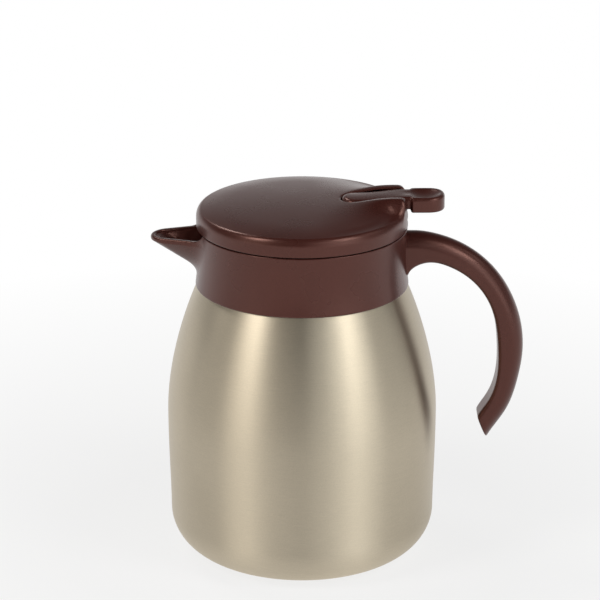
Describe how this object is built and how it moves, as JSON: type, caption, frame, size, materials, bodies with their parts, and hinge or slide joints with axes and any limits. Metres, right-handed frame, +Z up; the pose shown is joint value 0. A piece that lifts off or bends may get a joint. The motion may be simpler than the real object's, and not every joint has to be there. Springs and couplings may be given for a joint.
{
  "type": "vacuum carafe",
  "caption": "Round steel vacuum carafe with a short spout, an open-ended curved handle and a low screw-in lid whose thumb lever opens the pouring valve.",
  "frame": {"origin": "centre of the foot, on the plane the carafe stands on", "axes": "+Z up along the body's axis, spout towards -X, handle and thumb lever towards +X"},
  "size_m": [0.1893, 0.138, 0.1906],
  "materials": {
    "champagne_steel": "satin champagne tone, fine grain",
    "plain_steel": "satin",
    "brown_plastic": "fine spark texture, dark reddish brown",
    "inner_plastic": "smooth satin, dark brown",
    "silicone": "soft matte",
    "bright_steel": "bright drawn",
    "seal_glass": "fused glass drop",
    "getter_alloy": "pressed powder"
  },
  "bodies": {
    "vessel": {"outer_shell": "champagne_steel", "inner_liner": "plain_steel", "foot_plate": "champagne_steel", "vacuum_seal_bead": "seal_glass", "getter_pellet": "getter_alloy", "collar": "brown_plastic", "handle": "brown_plastic", "handle_screws": "bright_steel", "shoulder_gasket": "silicone", "neck_gasket": "silicone", "neck_ring": "inner_plastic"},
    "stopper_seals": {"stopper_seal": "silicone", "rim_seal": "silicone"},
    "stopper": {"lid_cover": "brown_plastic", "stopper_body": "inner_plastic", "cover_screws": "bright_steel", "lever_pin": "bright_steel", "stem_seal": "silicone"},
    "lever": {"lever": "brown_plastic"},
    "valve": {"valve_stem": "inner_plastic", "valve_disc": "inner_plastic", "valve_seal": "silicone", "valve_spring": "bright_steel"}
  },
  "joints": [
    {"name": "stopper_rise", "type": "slide", "parent": "vessel", "child": "stopper_seals", "axis": [0, 0, 1], "range_m": [0, 0.0451]},
    {"name": "stopper_unscrew", "type": "hinge", "parent": "stopper_seals", "child": "stopper", "pos_m": [0, 0, 0.16], "axis": [0, 0, 1], "range_deg": [0, 360]},
    {"name": "lever_press", "type": "hinge", "parent": "stopper", "child": "lever", "pos_m": [0.044, 0, 0.184], "axis": [0, 1, 0], "range_deg": [0, 7.5], "stiffness_Nm_per_rad": 0.3, "springref_deg": -20.05},
    {"name": "valve_lift", "type": "slide", "parent": "stopper", "child": "valve", "axis": [0, 0, 1], "range_m": [0, 0.006], "deforming": ["valve_spring"]}
  ],
  "couplings": [
    {"joint": "stopper_rise", "follows": "stopper_unscrew", "m_per_rad": 0.007162},
    {"joint": "valve_lift", "follows": "lever_press", "m_per_rad": 0.045}
  ]
}
